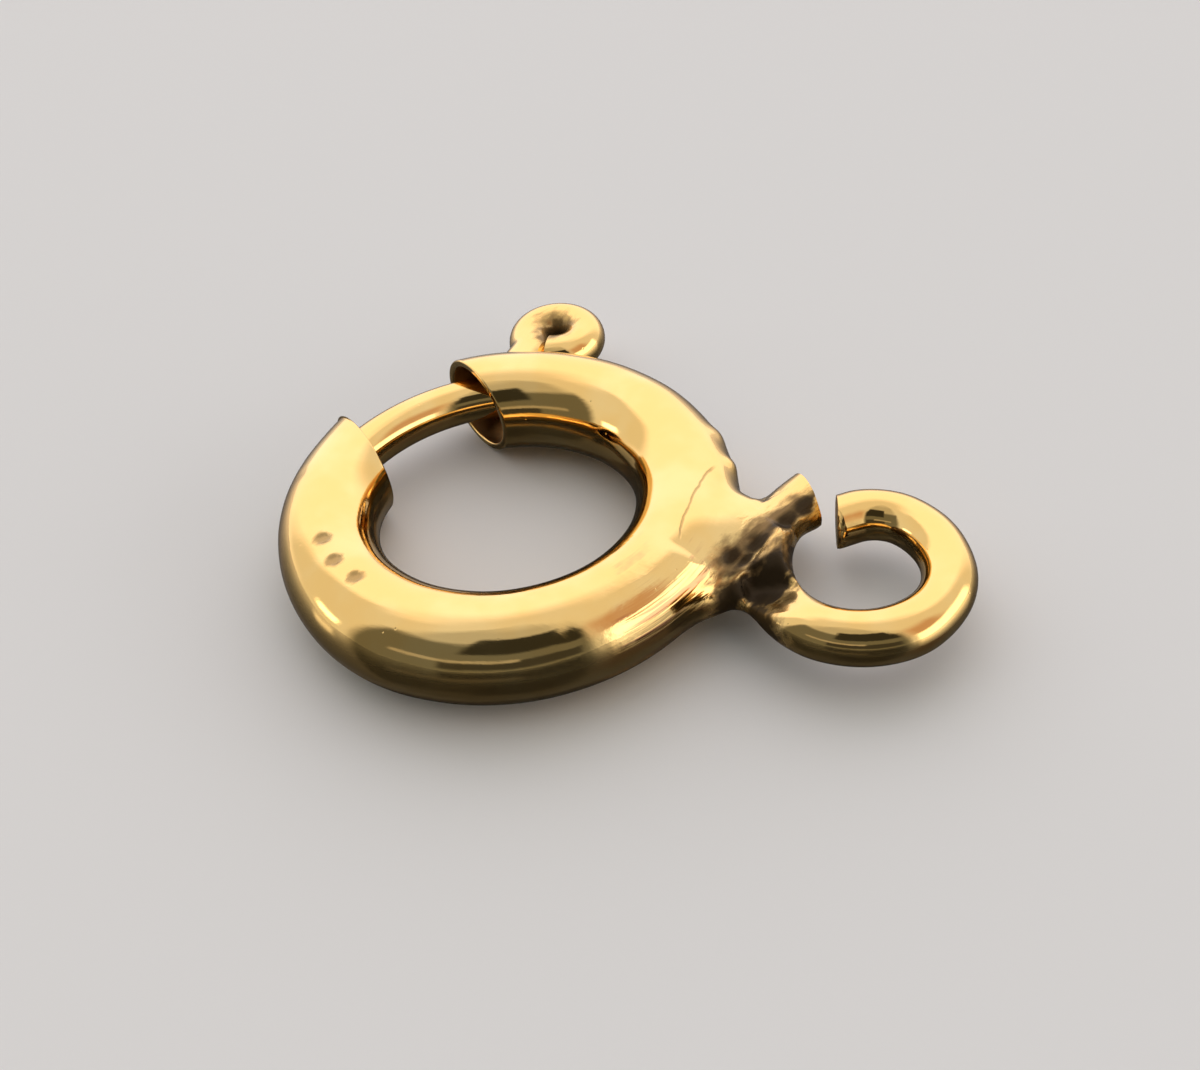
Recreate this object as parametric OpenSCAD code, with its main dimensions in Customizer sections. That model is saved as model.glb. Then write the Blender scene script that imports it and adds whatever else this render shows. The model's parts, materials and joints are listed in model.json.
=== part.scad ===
// Spring ring clasp: a hollow tube bent to a ring, with a sprung bolt wire
// that closes the gap and an open end ring on a flared neck.
// Millimetres, +Z up. The origin is the ring's centre, at the tube's middle height,
// and +X points to the end ring. Directions are degrees round the ring from +X.

/* [Ring tube] */
// Outside diameter of the ring
ring_od = 7; // [6:0.5:12]
// Outside diameter of the tube
tube_d = 1.56; // [1.5:0.02:1.7]
// Wall of the tube
tube_wall = 0.11; // [0.08:0.01:0.12]
// Width of the straight cut that opens the ring
gap_w = 2.1; // [1.6:0.1:2.4]
// Direction of the middle of that cut
gap_dir = 144.5; // [138:0.5:150]

/* [Bolt] */
// Diameter of the bolt wire
bolt_d = 0.7; // [0.6:0.02:0.72]
// How far the bolt runs outside the middle of the tube
bolt_out = 0.16; // [0:0.02:0.16]
// How far the closed bolt reaches into the tube past the gap
bolt_reach = 0.45; // [0.3:0.05:0.7]
// Length of the bolt's tapered tip
tip_len = 0.12; // [0.05:0.01:0.2]
// Bend radius where the wire turns out to the trigger
bend_r = 0.42; // [0.4:0.02:0.6]

/* [Trigger] */
// Distance along the bolt from the tube's mouth to the trigger
trigger_back = 1.18; // [1.1:0.02:1.5]
// Hole in the curled eye
eye_d = 0.24; // [0.16:0.02:0.4]
// Angle that the eye is curled through
eye_sweep = 266; // [240:2:270]
// Space between the eye and the tube
eye_clear = 0.05; // [0.05:0.01:0.2]
// Space round the wire in the tube's slot
slot_clear = 0.06; // [0.04:0.01:0.1]

/* [Spring] */
// Diameter of the spring wire
spring_wire = 0.1; // [0.08:0.01:0.12]
// Number of turns
spring_turns = 22; // [14:1:24]
// Space between the spring and the tube's bore
spring_clear = 0.06; // [0.04:0.01:0.1]
// Direction of the face of the seat that the spring pushes on
seat_dir = -60; // [-80:5:-45]
// Thickness of that seat
seat_len = 0.4; // [0.3:0.05:0.8]

/* [Neck] */
// Distance from the tube to the end ring's hole
neck_len = 0.9; // [0.84:0.02:1.2]
// Width of the neck at its waist
neck_w = 1.8; // [1.4:0.05:1.9]
// Height of the neck
neck_h = 1.2; // [1:0.02:1.3]
// Radius of the flare where the neck meets the tube
neck_flare = 0.36; // [0.25:0.01:0.4]

/* [End ring] */
// Diameter of the end ring's wire
loop_wire = 0.77; // [0.7:0.01:0.85]
// Diameter of its round hole
loop_hole = 1.75; // [1.5:0.05:2]
// Direction at which the free arm starts to curl in
arm_dir = 68; // [60:1:75]
// Radius of the arm's tighter curl
arm_r = 0.76; // [0.7:0.02:0.9]
// Direction at which the stub leaves the round
stub_dir = 208; // [200:1:215]
// Radius of the stub's wider curl
stub_r = 1.95; // [1.8:0.05:2.2]
// Width of the straight cut between the two ends
cut_w = 0.3; // [0.2:0.05:0.5]
// Direction that the cut's faces look in
cut_dir = 39; // [35:1:43]
// Distance of the cut's middle from the middle of the hole
cut_off = 0.15; // [0.06:0.01:0.2]

/* [Hidden] */
$fn = 96;
gold = [0.86, 0.68, 0.36];
steel = [0.72, 0.72, 0.74];
// Small length by which a cut runs past what it cuts
past = 0.5;
// A bend is slimmer than the stretches that it joins by wire_step, and enters them by wire_lap
wire_step = 0.02;
wire_lap = 0.04;

// The tube
tube_r = tube_d / 2;
bore_r = tube_r - tube_wall;
ring_r = ring_od / 2 - tube_r;
seat_sweep = seat_len / ring_r * 180 / PI;

// The bolt, closed
bolt_r = bolt_d / 2;
bolt_path_r = ring_r + bolt_out;
gap_half = asin(gap_w / 2 / bolt_path_r);
mouth_dir = gap_dir - gap_half;
tip_dir = gap_dir + gap_half + bolt_reach / bolt_path_r * 180 / PI;
// The turn that draws the tip level with the mouth
travel = tip_dir - mouth_dir;

// The trigger, in a frame that points out along its own direction
trigger_dir = mouth_dir - trigger_back / bolt_path_r * 180 / PI;
eye_r = eye_d / 2 + bolt_r;
eye_out = ring_od / 2 + eye_clear + eye_r + bolt_r;
bend_side = eye_r + bend_r;
bend_out = sqrt(pow(bolt_path_r + bend_r, 2) - pow(bend_side, 2));
bend_turn = atan2(bend_side, bend_out);
bolt_start = trigger_dir + bend_turn;

// The slot that the wire travels in
slot_h = bolt_d + 2 * slot_clear;
slot_from_r = ring_r + bore_r / 2;
slot_high = trigger_dir + asin((eye_r + bolt_r + slot_clear) / (ring_r + bore_r));
slot_low = trigger_dir - travel + asin((eye_r - bolt_r - slot_clear) / (ring_od / 2));

// The spring
coil_r = bore_r - spring_clear - spring_wire / 2;
spring_from = trigger_dir + asin((eye_r - bolt_r - spring_clear - spring_wire / 2) / (ring_r + coil_r));
spring_to = seat_dir + spring_wire / ring_r * 180 / PI;
coil_steps = 12;
wire_sides = 5;

// The neck: how far its web lies below the limbs, and how far they sink into the tube
web_step = 0.02;
limb_sink = 0.06;
// How far the taper runs into the limbs, and how much slimmer it is than the wire it meets
taper_lap = 0.1;
taper_step = 0.06;

// The end ring, whose ends are drawn long and cut to length
end_sweep = 85;
loop_r = loop_hole / 2 + loop_wire / 2;
loop_x = ring_od / 2 + neck_len + loop_hole / 2;

// An arc of round wire in the ring's plane, round the frame's own Z axis
module wire_arc(arc_r, wire_d, from, sweep) {
    rotate([0, 0, from])
        rotate_extrude(angle = sweep)
            translate([arc_r, 0])
                circle(d = wire_d);
}

// A slimmer arc that runs on into the stretches at its ends
module wire_bend(arc_r, wire_d, from, sweep) {
    lap = wire_lap / arc_r * 180 / PI;
    wire_arc(arc_r, wire_d - wire_step, from - lap, sweep + 2 * lap);
}

// Moves an arc's centre so that it stays tangent to the end ring's round at dir
module tangent_to_round(dir, r) {
    translate([(loop_r - r) * cos(dir), (loop_r - r) * sin(dir), 0])
        children();
}

// All that lies beyond one face of the straight cut: side is -1 for the arm, 1 for the stub
module beyond_cut(side) {
    size = 4 * loop_r;
    rotate([0, 0, cut_dir])
        translate([cut_off - side * cut_w / 2 + (side - 1) / 2 * size, -size / 2, -size / 2])
            cube(size);
}

// The round of the end ring with its two bent ends
module end_ring() {
    translate([loop_x, 0, 0]) {
        wire_arc(loop_r, loop_wire, stub_dir, 360 + arm_dir - stub_dir);
        difference() {
            tangent_to_round(arm_dir, arm_r)
                wire_bend(arm_r, loop_wire, arm_dir, end_sweep);
            beyond_cut(-1);
        }
        difference() {
            tangent_to_round(stub_dir, stub_r)
                wire_bend(stub_r, loop_wire, stub_dir - end_sweep, end_sweep);
            beyond_cut(1);
        }
    }
}

// Two round limbs that flare out from the waist to the tube, the web between them
// and a taper to the wire, filed flat above and below
module neck() {
    side_y = neck_w / 2 + neck_flare;
    waist_x = sqrt(pow(ring_od / 2 + neck_flare - limb_sink, 2) - pow(side_y, 2));
    limb_r = neck_flare + neck_h / 2;
    limb_turn = 90 - atan2(side_y, waist_x);
    web_h = neck_h - 2 * web_step;
    for (side = [0, 1])
        mirror([0, side, 0])
            translate([waist_x, side_y, 0])
                wire_arc(limb_r, neck_h, 270 - limb_turn, limb_turn);
    translate([0, 0, -web_h / 2])
        linear_extrude(height = web_h)
            difference() {
                translate([ring_r, -side_y])
                    square([waist_x - ring_r - web_step, 2 * side_y]);
                for (side = [-1, 1])
                    translate([waist_x, side * side_y])
                        circle(r = limb_r);
            }
    intersection() {
        translate([waist_x - past, -neck_w, -web_h / 2])
            cube([loop_x - waist_x, 2 * neck_w, web_h]);
        translate([waist_x - taper_lap, 0, 0])
            rotate([0, 90, 0])
                cylinder(d1 = neck_w, d2 = loop_wire - taper_step, h = loop_x - loop_r + taper_lap - waist_x);
    }
}

// The slot in the tube's outer wall
module trigger_slot() {
    rotate([0, 0, slot_low])
        rotate_extrude(angle = slot_high - slot_low)
            translate([slot_from_r, -slot_h / 2])
                square([tube_r, slot_h]);
}

// The hollow tube, the neck and the end ring, soldered to one piece
module ring_case() {
    color(gold)
        difference() {
            union() {
                rotate_extrude()
                    translate([ring_r, 0])
                        circle(d = tube_d);
                neck();
                end_ring();
            }
            wire_arc(ring_r, 2 * bore_r, seat_dir, 360 - seat_sweep);
            rotate([0, 0, gap_dir])
                translate([0, -gap_w / 2, -tube_d])
                    cube([ring_od, gap_w, 2 * tube_d]);
            trigger_slot();
        }
}

// The bolt wire, its bend out through the slot and the curled eye
module bolt() {
    color(gold) {
        wire_arc(bolt_path_r, bolt_d, bolt_start, tip_dir - bolt_start);
        rotate([0, 0, tip_dir])
            translate([bolt_path_r, -wire_lap, 0])
                rotate([-90, 0, 0])
                    cylinder(d1 = bolt_d - wire_step, d2 = bolt_d - 2 * tip_len, h = tip_len + wire_lap);
        rotate([0, 0, trigger_dir]) {
            translate([bend_out, bend_side, 0])
                wire_bend(bend_r, bolt_d, 180 + bend_turn, 90 - bend_turn);
            translate([bend_out, eye_r, 0])
                rotate([0, 90, 0])
                    cylinder(d = bolt_d, h = eye_out - bend_out);
            translate([eye_out, 0, 0])
                wire_bend(eye_r, bolt_d, 90 - eye_sweep, eye_sweep);
        }
    }
}

// A point of the spring's wire: along runs from 0 to 1, side goes round the wire
function spring_point(along, side) =
    let (
        dir = spring_from + along * (spring_to - spring_from),
        turn = 360 * spring_turns * along,
        reach = coil_r + spring_wire / 2 * cos(side),
        out = ring_r + reach * cos(turn),
        slip = spring_wire / 2 * sin(side)
    )
    [
        out * cos(dir) - slip * sin(dir),
        out * sin(dir) + slip * cos(dir),
        reach * sin(turn)
    ];

// The coil spring, wound round the tube's curved middle line
module coil_spring() {
    rings = spring_turns * coil_steps;
    points = [
        for (ring = [0:rings], k = [0:wire_sides - 1])
            spring_point(ring / rings, 360 * k / wire_sides)
    ];
    walls = [
        for (ring = [0:rings - 1], k = [0:wire_sides - 1])
            let (
                a = ring * wire_sides + k,
                b = ring * wire_sides + (k + 1) % wire_sides
            )
            each [
                [a, b, b + wire_sides],
                [a, b + wire_sides, a + wire_sides]
            ]
    ];
    first_end = [for (k = [wire_sides - 1:-1:0]) k];
    last_end = [for (k = [0:wire_sides - 1]) rings * wire_sides + k];
    color(steel)
        polyhedron(points = points, faces = concat([first_end], walls, [last_end]), convexity = 10);
}

ring_case();
bolt();
coil_spring();
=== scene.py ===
import json
import math

import bmesh
import bpy
import numpy as np
from mathutils import Matrix, Vector


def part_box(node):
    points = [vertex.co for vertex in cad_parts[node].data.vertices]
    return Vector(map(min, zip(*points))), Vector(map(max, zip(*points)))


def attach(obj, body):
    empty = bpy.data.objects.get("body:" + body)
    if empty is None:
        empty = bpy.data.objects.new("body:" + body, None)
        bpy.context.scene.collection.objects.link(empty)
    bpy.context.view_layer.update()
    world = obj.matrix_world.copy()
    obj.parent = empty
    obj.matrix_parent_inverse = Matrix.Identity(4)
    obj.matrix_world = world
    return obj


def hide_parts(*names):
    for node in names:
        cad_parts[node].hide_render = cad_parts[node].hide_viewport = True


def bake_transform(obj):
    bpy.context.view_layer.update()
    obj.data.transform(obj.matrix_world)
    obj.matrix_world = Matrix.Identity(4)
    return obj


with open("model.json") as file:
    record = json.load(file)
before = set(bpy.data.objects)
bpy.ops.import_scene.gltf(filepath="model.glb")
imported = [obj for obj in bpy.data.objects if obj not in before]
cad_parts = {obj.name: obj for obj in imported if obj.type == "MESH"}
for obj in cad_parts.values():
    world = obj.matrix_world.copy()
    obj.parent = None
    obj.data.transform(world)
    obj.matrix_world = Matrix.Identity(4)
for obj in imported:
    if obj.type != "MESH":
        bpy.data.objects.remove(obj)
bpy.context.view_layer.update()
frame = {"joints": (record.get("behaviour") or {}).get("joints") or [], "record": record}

# Lengths in the making of the meshes are in millimetres, angles in degrees round the ring from +X.
MM = 0.001

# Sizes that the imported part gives
case_low, case_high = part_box("ring_case")
bolt_low, bolt_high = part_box("bolt")
TUBE_R = (case_high.z - case_low.z) / 2 / MM
RING_R = -case_low.x / MM - TUBE_R
BOLT_R = (bolt_high.z - bolt_low.z) / 2 / MM
MOUNTS = {mount["name"]: mount for mount in frame["record"]["mounts"]}
LOOP_X = MOUNTS["end_loop"]["pos_m"][0] / MM
TRAVEL = frame["joints"][0]["range_deg"][1]

# Sizes that repeat the part's own
WALL = 0.11
BORE_R = TUBE_R - WALL
GAP_W = 2.1
GAP_DIR = 144.5
BOLT_OUT = 0.16
BOLT_PATH_R = RING_R + BOLT_OUT
TIP_LEN = 0.12
TRIGGER_BACK = 1.18
BEND_R = 0.42
EYE_R = 0.47
EYE_CLEAR = 0.05
SLOT_CLEAR = 0.06
SEAT_DIR = -60
SPRING_WIRE = 0.1
SPRING_TURNS = 22
SPRING_CLEAR = 0.06
LOOP_WIRE_R = 0.385
LOOP_R = 1.75 / 2 + LOOP_WIRE_R
ARM_DIR = 68
ARM_R = 0.76
STUB_DIR = 208
STUB_R = 1.95

# Sizes that are closer to the photograph than the part's plain ones
EYE_SWEEP = 277
EYE_PINCH = 0.08
STUB_SWEEP = 80
ARM_SWEEP = 60
ARM_TAIL = 0.6
# The two faces of the end ring's cut: the way each looks, and how far it lies from the end ring's centre
STUB_FACE = (39, 0.06)
ARM_FACE = (15, -0.22)
# How far the wires' distances go on past those faces
PAST_FACE = 0.1

# Places that follow from those sizes
MOUTH_DIR = GAP_DIR - math.degrees(math.asin(GAP_W / 2 / BOLT_PATH_R))
TIP_DIR = MOUTH_DIR + TRAVEL
TRIGGER_DIR = MOUTH_DIR - math.degrees(TRIGGER_BACK / BOLT_PATH_R)
EYE_OUT = RING_R + TUBE_R + EYE_CLEAR + EYE_R + BOLT_R
FLOOR_Z = -TUBE_R


def turned(points, degrees):
    """Points turned about Z."""
    c, s = math.cos(math.radians(degrees)), math.sin(math.radians(degrees))
    points = np.asarray(points, float)
    x = c * points[..., 0] - s * points[..., 1]
    y = s * points[..., 0] + c * points[..., 1]
    return np.stack([x, y, points[..., 2]], -1)


def smooth_step(value, low, high):
    t = np.clip((value - low) / (high - low), 0, 1)
    return t * t * (3 - 2 * t)


def smooth_union(a, b, k):
    h = np.clip(k - np.abs(a - b), 0, None) / k
    return np.minimum(a, b) - h * h * k / 4


def smooth_cut(a, b, k):
    """What a and b have in common, with its edge rounded over k."""
    return -smooth_union(-a, -b, k)


def waves(points, scale, seed):
    """A smooth field of about -1 to 1, the same at each run: a few crossed sine waves."""
    rng = np.random.default_rng(seed)
    total = np.zeros(len(points))
    count = 7
    for _ in range(count):
        direction = rng.normal(size=3)
        direction *= rng.uniform(0.6, 1.4) * scale / np.linalg.norm(direction)
        total += np.sin(points @ direction + rng.uniform(0, 2 * math.pi))
    return total / math.sqrt(count)


# The outer skin of the case, as a distance that is zero on the skin


# The tube's outer side is drawn in by this much at its left end. That starts over the first two of these
# directions and stops over the last two.
LEFT_DRAWN_IN = 0.08
LEFT_END = (150, 176, 205, 262)


def ring_distance(p):
    """The tube, drawn in a little on its outer side towards its left end."""
    flat = np.hypot(p[:, 0], p[:, 1])
    q = np.hypot(flat - RING_R, p[:, 2])
    direction = np.degrees(np.arctan2(p[:, 1], p[:, 0])) % 360
    outer = np.clip((flat - RING_R) / TUBE_R, 0, 1)
    start, full, full_to, end = LEFT_END
    drawn = smooth_step(direction, end, full_to) * smooth_step(direction, start, full)
    return q - TUBE_R + LEFT_DRAWN_IN * drawn * outer


def arc_distance(p, centre, arc_r, low, high):
    """The end ring's round wire, bent to an arc in the ring's plane."""
    x = p[:, 0] - centre[0]
    y = p[:, 1] - centre[1]
    middle = (low + high) / 2
    turn = (np.degrees(np.arctan2(y, x)) - middle + 180) % 360 - 180
    half = (high - low) / 2
    near = np.radians(middle + np.clip(turn, -half, half))
    dx = x - arc_r * np.cos(near)
    dy = y - arc_r * np.sin(near)
    return np.sqrt(dx * dx + dy * dy + p[:, 2] ** 2) - LOOP_WIRE_R


def from_line(p, line):
    """The distance from a line of points."""
    best = np.full(len(p), np.inf)
    for start, end in zip(line[:-1], line[1:]):
        start, end = np.array(start), np.array(end)
        along = end - start
        t = np.clip((p - start) @ along / (along @ along), 0, 1)
        best = np.minimum(best, np.linalg.norm(p - start - t[:, None] * along, axis=1))
    return best


def shifted_centre(direction, arc_r):
    """The centre of an arc that stays tangent to the end ring's round."""
    reach = LOOP_R - arc_r
    angle = math.radians(direction)
    return (LOOP_X + reach * math.cos(angle), reach * math.sin(angle))


def past_face(points, face):
    """How far points lie past one face of the end ring's cut, towards the arm."""
    angle = math.radians(face[0])
    return (points[:, 0] - LOOP_X) * math.cos(angle) + points[:, 1] * math.sin(angle) - face[1]


def arm_tail():
    """The straight end of the arm, past its arc."""
    angle = math.radians(ARM_DIR + ARM_SWEEP)
    centre = shifted_centre(ARM_DIR, ARM_R)
    start = np.array([centre[0] + ARM_R * math.cos(angle), centre[1] + ARM_R * math.sin(angle), 0])
    return start, start + ARM_TAIL * np.array([-math.sin(angle), math.cos(angle), 0])


def end_ring_distance(p):
    """The end ring's wire. Stub and arm each end a little past their own face of the cut."""
    whole = arc_distance(p, (LOOP_X, 0), LOOP_R, STUB_DIR, 360 + ARM_DIR)
    arm = arc_distance(p, shifted_centre(ARM_DIR, ARM_R), ARM_R, ARM_DIR, ARM_DIR + ARM_SWEEP)
    arm = np.minimum(arm, from_line(p, arm_tail()) - LOOP_WIRE_R)
    arm = np.maximum(arm, -PAST_FACE - past_face(p, ARM_FACE))
    stub = arc_distance(p, shifted_centre(STUB_DIR, STUB_R), STUB_R, STUB_DIR - STUB_SWEEP, STUB_DIR)
    stub = np.maximum(stub, past_face(p, STUB_FACE) - PAST_FACE)
    return np.minimum(np.minimum(whole, arm), stub)


# The neck tapers between about these two x. Its section is an oval, which a higher power makes squarer.
NECK_FROM = 3.3
NECK_TO = 4.12
NECK_POWER = 2.5
# Half widths at the tube and at the end ring, on the camera's side and on the far side, then half heights
NECK_NEAR = (1.04, 0.66)
NECK_FAR = (0.96, 0.64)
NECK_H = (0.6, 0.385)
# The widths shrink over the same stretch moved out by the first length. For the heights it ends earlier by
# the second.
NECK_W_LATER = 0.1
NECK_H_EARLIER = 0.25
# Towards this y on the near side, the neck gets lower by so much and thinner by this share
NECK_LOW_Y = -0.85
NECK_DROP = 0.12
NECK_THINNER = 0.24
# Half the width over which the near half passes into the far half, and how far before NECK_FROM the neck's
# distance starts, inside the tube
NECK_MIDDLE = 0.15
NECK_SUNK = 0.3


def neck_halves(x):
    """The neck's half widths on its near and far side, and its half height."""
    width_share = smooth_step(x, NECK_FROM + NECK_W_LATER, NECK_TO + NECK_W_LATER)
    height_share = smooth_step(x, NECK_FROM, NECK_TO - NECK_H_EARLIER)
    near = NECK_NEAR[0] + (NECK_NEAR[1] - NECK_NEAR[0]) * width_share
    far = NECK_FAR[0] + (NECK_FAR[1] - NECK_FAR[0]) * width_share
    return near, far, NECK_H[0] + (NECK_H[1] - NECK_H[0]) * height_share


def neck_lower(y):
    """How much lower and thinner the neck is towards its near side."""
    amount = smooth_step(y, 0.0, NECK_LOW_Y)
    return NECK_DROP * amount, 1 - NECK_THINNER * amount


def neck_distance(p):
    """A short broad taper between the tube and the end ring."""
    near, far, half_h = neck_halves(p[:, 0])
    half_w = far + (near - far) * smooth_step(p[:, 1], NECK_MIDDLE, -NECK_MIDDLE)
    drop, thinner = neck_lower(p[:, 1])
    height = np.abs((p[:, 2] + drop) / (half_h * thinner))
    bulk = np.abs(p[:, 1] / half_w) ** NECK_POWER + height ** NECK_POWER
    side = (bulk ** (1 / NECK_POWER) - 1) * np.minimum(half_w, half_h)
    return np.maximum(side, np.maximum(NECK_FROM - NECK_SUNK - p[:, 0], p[:, 0] - NECK_TO))


# Flats left by the file where the end ring is soldered on. Each has the direction and elevation that it
# faces, a point on it, how far it runs (low and high x, low and high y), and how fast it leaves the metal
# beyond that along x and y.
FLATS = (
    ("tongue", 5, 68, (3.75, 0.55, 0.40), (2.0, 3.85, -9, 9), (0.8, 0)),
    ("shoulder", -22, 56, (3.02, -0.5, 0.70), (2.0, 3.82, -0.72, 9), (1.0, 0.8)),
    ("flank", -50, 30, (3.67, -0.68, 0.19), (3.2, 3.9, -0.6, 0.2), (0.8, 0.8)),
    ("stub_top", -25, 97, (4.12, 1.10, 0.345), (3.9, 4.65, 0.5, 2.2), (2.0, 0.8)),
    ("stub_bevel", -25, 62, (4.275, 1.028, 0.320), (3.9, 4.65, 0.45, 2.2), (2.0, 1.2)),
    ("stub_flank", -25, 24, (4.435, 0.953, 0.154), (3.9, 4.65, 0.5, 2.2), (2.0, 2.4)),
    ("stub_back", -25, 132, (3.906, 1.200, 0.263), (3.75, 4.65, 0.65, 2.2), (2.0, 0.8)),
)
# The length over which a flat starts to leave the metal, and how far its edges are rounded
FLAT_RUN_OUT = 0.1
FLAT_EDGE = 0.08


def flat_distance(p, azimuth, elevation, point, reach, lift):
    """A plane that curves up and away outside its reach."""
    a, e = math.radians(azimuth), math.radians(elevation)
    facing = np.array([math.cos(a) * math.cos(e), math.sin(a) * math.cos(e), math.sin(e)])
    away = 0
    for axis in (0, 1):
        low, high = reach[2 * axis:2 * axis + 2]
        beyond = np.clip(np.maximum(low - p[:, axis], p[:, axis] - high), 0, None)
        away = away + lift[axis] * beyond ** 2 / (beyond + FLAT_RUN_OUT)
    return (p - np.array(point)) @ facing - away


def on_tube(direction, way_round):
    """A point on the tube: way_round is 0 at the ring's inner side, 90 on top and 180 on its outer side."""
    w, a = math.radians(way_round), math.radians(direction)
    flat = RING_R - TUBE_R * math.cos(w)
    return (flat * math.cos(a), flat * math.sin(a), TUBE_R * math.sin(w))


# Plain punch marks on top of the tube
PUNCHED = (on_tube(244, 91), on_tube(233.5, 93), on_tube(223, 91))
PUNCH_DEPTH = 0.035
PUNCH_R = 0.1
# Small dents, and lumps where the depth is below zero: place, spread, depth
SOFT_DENTS = (
    (on_tube(36, 150), 0.2, -0.05),
    (on_tube(24, 152), 0.16, -0.06),
    (on_tube(300, 78), 0.06, 0.006),
    (on_tube(2, 100), 0.07, 0.006),
    (on_tube(60, 95), 0.06, 0.006),
    (on_tube(190, 120), 0.14, 0.008),
    (on_tube(307, 132), 0.16, 0.005),
    (on_tube(318, 125), 0.14, -0.006),
    ((3.58, -0.49, 0.3), 0.11, 0.035),
    ((3.73, -0.43, 0.25), 0.09, 0.03),
    ((3.84, -0.14, 0.33), 0.11, 0.035),
    ((4.14, 0.42, 0.3), 0.12, 0.03),
    ((3.5, -0.9, 0.1), 0.1, 0.015),
    ((3.71, 0.72, 0.3), 0.14, -0.03),
    ((4.45, 1.2, 0.3), 0.06, -0.02),
    ((4.56, 0.98, -0.12), 0.26, -0.12),
)
# The raised line along the joint's near side
RIDGE = (
    (3.5, -0.88, 0.1),
    (3.75, -0.59, 0.21),
    (3.92, -0.4, 0.25),
    (4.12, -0.05, 0.31),
    (4.24, 0.35, 0.25),
    (4.3, 0.64, 0.17),
    (4.47, 0.93, 0.05),
)
RIDGE_H = 0.035
RIDGE_SPREAD = 0.075
# The fillets where the neck meets the tube and the end ring: their size on the far side, and how much they
# gain on the near side. The change from far to near lies within NEAR_SIDE of the middle.
TUBE_FILLET = (0.14, 0.2)
LOOP_FILLET = (0.16, 0.14)
NEAR_SIDE = 0.4
# The hand finish's unevenness all over, and what the end ring has besides: height, scale, seed
RIPPLES = ((0.005, 2.3, 3), (0.002, 6.5, 5))
LOOP_RIPPLE = (0.008, 5.0, 11)
# The x over which the end ring's own unevenness comes in
LOOP_RIPPLE_X = (4.4, 5.0)


def skin_distance(p):
    """The whole outer skin: tube, solder, neck and end ring, with the hand finish's unevenness."""
    near = smooth_step(p[:, 1], NEAR_SIDE, -NEAR_SIDE)
    body = smooth_union(ring_distance(p), neck_distance(p), TUBE_FILLET[0] + TUBE_FILLET[1] * near)
    body = smooth_union(body, end_ring_distance(p), LOOP_FILLET[0] + LOOP_FILLET[1] * near)
    filed = body
    for _, *flat in FLATS:
        filed = smooth_cut(filed, flat_distance(p, *flat), FLAT_EDGE)
    body = np.where(past_face(p, STUB_FACE) < PAST_FACE, filed, body)
    for centre, spread, depth in SOFT_DENTS:
        away = ((p - np.array(centre)) ** 2).sum(1)
        body = body + depth * np.exp(-away / spread ** 2)
    for centre in PUNCHED:
        away = ((p - np.array(centre)) ** 2).sum(1)
        body = body + PUNCH_DEPTH * np.exp(-(away / PUNCH_R ** 2) ** 2)
    body = body - RIDGE_H * np.exp(-(from_line(p, RIDGE) / RIDGE_SPREAD) ** 2)
    for height, scale, seed in RIPPLES:
        body = body + height * waves(p, scale, seed)
    height, scale, seed = LOOP_RIPPLE
    return body + height * smooth_step(p[:, 0], *LOOP_RIPPLE_X) * waves(p, scale, seed)


def skin_normals(p, step=1e-4):
    """The way that the skin faces at each point."""
    parts = []
    for axis in range(3):
        shift = np.zeros(3)
        shift[axis] = step
        parts.append(skin_distance(p + shift) - skin_distance(p - shift))
    slope = np.stack(parts, -1) / (2 * step)
    return slope / np.maximum(np.linalg.norm(slope, axis=1, keepdims=True), 1e-9)


# Meshes


# What a face of the case belongs to. These are also the numbers of its materials.
SKIN, RIM, INSIDE, CUT = range(4)


def mesh_object(name, points, faces, kinds=SKIN, smooth=True):
    """A new object from points in millimetres. kinds is one kind for all faces or a list with one each."""
    mesh = bpy.data.meshes.new(name)
    mesh.from_pydata((np.asarray(points, float) * MM).tolist(), [], [list(f) for f in faces])
    kinds = np.broadcast_to(np.asarray(kinds, np.int32), len(mesh.polygons))
    mesh.polygons.foreach_set("material_index", np.ascontiguousarray(kinds))
    mesh.polygons.foreach_set("use_smooth", np.full(len(mesh.polygons), smooth))
    mesh.update()
    made = bpy.data.objects.new(name, mesh)
    bpy.context.scene.collection.objects.link(made)
    return made


def outward(obj):
    """Faces turned to look outwards."""
    work = bmesh.new()
    work.from_mesh(obj.data)
    bmesh.ops.recalc_face_normals(work, faces=work.faces)
    work.to_mesh(obj.data)
    work.free()
    return obj


def sharp_by_angle(obj, degrees):
    """Smooth shading with edges above an angle kept sharp."""
    work = bmesh.new()
    work.from_mesh(obj.data)
    limit = math.radians(degrees)
    for edge in work.edges:
        edge.smooth = not (edge.is_manifold and edge.calc_face_angle(0) > limit)
    for face in work.faces:
        face.smooth = True
    work.to_mesh(obj.data)
    work.free()


def grid_faces(columns, rows, closed_columns=False):
    """Quads of a grid that is closed round its rows; point (i, j) is number i * rows + j."""
    faces = []
    for i in range(columns if closed_columns else columns - 1):
        after = (i + 1) % columns
        for j in range(rows):
            k = (j + 1) % rows
            faces.append((i * rows + j, i * rows + k, after * rows + k, after * rows + j))
    return faces


def capped_faces(columns, rows):
    """The same grid with a face over each of its two open ends."""
    first = tuple(range(rows))
    last = tuple(range((columns - 1) * rows, columns * rows))
    return grid_faces(columns, rows) + [first, last]


def circle_steps(count):
    return np.arange(count) * 2 * math.pi / count


def directions_along(line):
    """Which way a line of points runs at each of them."""
    ahead = np.gradient(line, axis=0)
    return ahead / np.linalg.norm(ahead, axis=1, keepdims=True)


def arc_points(centre, arc_r, low, high, steps):
    angles = np.radians(np.linspace(low, high, steps + 1))
    x = centre[0] + arc_r * np.cos(angles)
    y = centre[1] + arc_r * np.sin(angles)
    return np.stack([x, y, 0 * angles], -1)


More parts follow.
